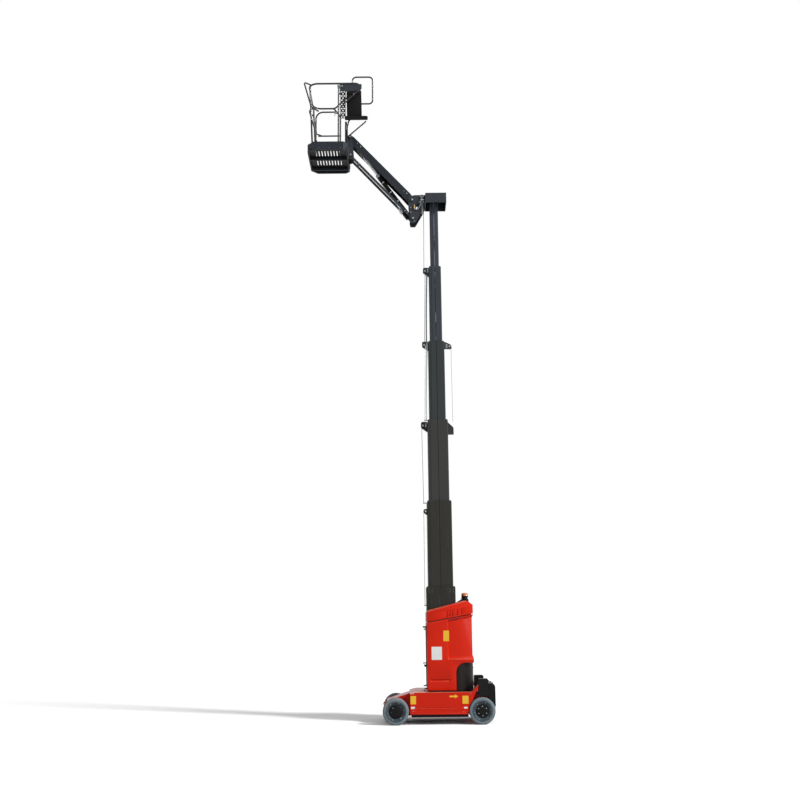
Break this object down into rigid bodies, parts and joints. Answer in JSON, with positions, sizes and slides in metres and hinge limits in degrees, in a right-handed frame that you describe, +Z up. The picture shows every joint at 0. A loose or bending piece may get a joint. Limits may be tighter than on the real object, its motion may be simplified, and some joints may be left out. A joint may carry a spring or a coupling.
{
  "type": "vertical mast lift",
  "caption": "Self-propelled aerial work platform: telescoping vertical mast on a slewing turret, levelled jib arm and a guard-railed basket with a swing gate.",
  "frame": {"origin": "bottom centre of the machine's box, on the ground", "axes": "+X towards the basket end, +Y to the machine's left, +Z up along the mast"},
  "size_m": [2.9249, 1, 10.5029],
  "materials": {
    "red_paint": "gloss",
    "black_paint": "satin",
    "charcoal_paint": "satin",
    "ballast_iron": "satin",
    "amber_lens": "gloss",
    "chrome_rod": "polished",
    "basket_alloy": "satin",
    "rail_tube": "gloss",
    "black_plastic": "matte",
    "grey_tyre": "matte",
    "wheel_grey": "satin"
  },
  "bodies": {
    "chassis": {"chassis_frame": "red_paint", "underframe": "black_paint", "front_bumper": "black_paint", "rear_boxes": "black_paint", "rear_guard": "black_paint", "slew_ring": "black_paint", "front_axle": "black_paint", "drive_axle": "black_paint"},
    "steer_left": {"knuckle_left": "black_paint"},
    "steer_right": {"knuckle_right": "black_paint"},
    "wheel_front_left": {"tyre_front_left": "grey_tyre", "rim_front_left": "wheel_grey"},
    "wheel_front_right": {"tyre_front_right": "grey_tyre", "rim_front_right": "wheel_grey"},
    "wheel_rear_left": {"tyre_rear_left": "grey_tyre", "rim_rear_left": "wheel_grey"},
    "wheel_rear_right": {"tyre_rear_right": "grey_tyre", "rim_rear_right": "wheel_grey"},
    "turret": {"turntable_plate": "black_paint", "counterweight": "ballast_iron", "turret_cover": "red_paint", "turret_lid": "red_paint", "beacon_bracket": "black_paint", "beacon": "amber_lens", "mast_section_0": "charcoal_paint"},
    "mast_1": {"mast_section_1": "charcoal_paint"},
    "mast_2": {"mast_section_2": "charcoal_paint"},
    "mast_3": {"mast_section_3": "charcoal_paint"},
    "mast_4": {"mast_section_4": "charcoal_paint"},
    "mast_5": {"mast_section_5": "charcoal_paint", "head_box": "charcoal_paint", "head_plates": "charcoal_paint"},
    "jib": {"jib_boom": "charcoal_paint"},
    "link": {"link_bars": "charcoal_paint"},
    "jib_cylinder": {"cylinder_barrel": "black_paint"},
    "jib_ram": {"cylinder_rod": "chrome_rod"},
    "basket": {"basket_carrier": "charcoal_paint", "basket_posts": "rail_tube", "basket_tray": "basket_alloy", "rail_top": "rail_tube", "rail_mid": "rail_tube", "side_posts": "rail_tube", "gate_collar": "black_paint", "console_plate": "charcoal_paint", "console_box": "black_plastic", "console_shelf": "black_paint", "guard_hoop": "rail_tube"},
    "basket_gate": {"gate": "rail_tube"}
  },
  "joints": [
    {"name": "steer_left", "type": "hinge", "parent": "chassis", "child": "steer_left", "pos_m": [-0.0025, 0.43, 0.1905], "axis": [0, 0, 1], "range_deg": [-45, 45]},
    {"name": "steer_right", "type": "hinge", "parent": "chassis", "child": "steer_right", "pos_m": [-0.0025, -0.43, 0.1905], "axis": [0, 0, 1], "range_deg": [-45, 45]},
    {"name": "wheel_front_left", "type": "hinge", "parent": "steer_left", "child": "wheel_front_left", "pos_m": [-0.0025, 0.4365, 0.1905], "axis": [0, 1, 0], "continuous": true},
    {"name": "wheel_front_right", "type": "hinge", "parent": "steer_right", "child": "wheel_front_right", "pos_m": [-0.0025, -0.4365, 0.1905], "axis": [0, 1, 0], "continuous": true},
    {"name": "wheel_rear_left", "type": "hinge", "parent": "chassis", "child": "wheel_rear_left", "pos_m": [-1.2625, 0.4365, 0.1905], "axis": [0, 1, 0], "continuous": true},
    {"name": "wheel_rear_right", "type": "hinge", "parent": "chassis", "child": "wheel_rear_right", "pos_m": [-1.2625, -0.4365, 0.1905], "axis": [0, 1, 0], "continuous": true},
    {"name": "slew", "type": "hinge", "parent": "chassis", "child": "turret", "pos_m": [-0.7875, 0, 0.4625], "axis": [0, 0, 1], "range_deg": [-172.5, 172.5]},
    {"name": "mast_slide_1", "type": "slide", "parent": "turret", "child": "mast_1", "axis": [0, 0, 1], "range_m": [-1.27, 0]},
    {"name": "mast_slide_2", "type": "slide", "parent": "mast_1", "child": "mast_2", "axis": [0, 0, 1], "range_m": [-1.27, 0]},
    {"name": "mast_slide_3", "type": "slide", "parent": "mast_2", "child": "mast_3", "axis": [0, 0, 1], "range_m": [-1.27, 0]},
    {"name": "mast_slide_4", "type": "slide", "parent": "mast_3", "child": "mast_4", "axis": [0, 0, 1], "range_m": [-1.27, 0]},
    {"name": "mast_slide_5", "type": "slide", "parent": "mast_4", "child": "mast_5", "axis": [0, 0, 1], "range_m": [-0.85, 0]},
    {"name": "jib_lift", "type": "hinge", "parent": "mast_5", "child": "jib", "pos_m": [-0.3425, 0, 8.34], "axis": [0, -1, 0], "range_deg": [-108, 22]},
    {"name": "link_pivot", "type": "hinge", "parent": "mast_5", "child": "link", "pos_m": [-0.3525, 0, 8.01], "axis": [0, -1, 0], "range_deg": [-108, 22]},
    {"name": "cylinder_pivot", "type": "hinge", "parent": "mast_5", "child": "jib_cylinder", "pos_m": [-0.3525, 0, 8.01], "axis": [0, -1, 0], "range_deg": [-106.93, 21.79]},
    {"name": "ram_slide", "type": "slide", "parent": "jib_cylinder", "child": "jib_ram", "axis": [0.5777, 0, 0.8162], "range_m": [-0.5279, 0.1076]},
    {"name": "basket_level", "type": "hinge", "parent": "jib", "child": "basket", "pos_m": [0.70268, 0, 9.50079], "axis": [0, -1, 0], "range_deg": [-22, 108]},
    {"name": "gate_hinge", "type": "hinge", "parent": "basket", "child": "basket_gate", "pos_m": [1.2525, 0.41, 9.8], "axis": [0, 0, 1], "range_deg": [0, 90]}
  ],
  "couplings": [
    {"joint": "steer_right", "follows": "steer_left", "ratio": 1},
    {"joint": "mast_slide_2", "follows": "mast_slide_1", "ratio": 1},
    {"joint": "mast_slide_3", "follows": "mast_slide_1", "ratio": 1},
    {"joint": "mast_slide_4", "follows": "mast_slide_1", "ratio": 1},
    {"joint": "mast_slide_5", "follows": "mast_slide_1", "ratio": 0.66929},
    {"joint": "link_pivot", "follows": "jib_lift", "ratio": 1},
    {"joint": "cylinder_pivot", "follows": "jib_lift", "ratio": 0.99},
    {"joint": "ram_slide", "follows": "jib_lift", "m_per_rad": 0.28},
    {"joint": "basket_level", "follows": "jib_lift", "ratio": -1}
  ]
}
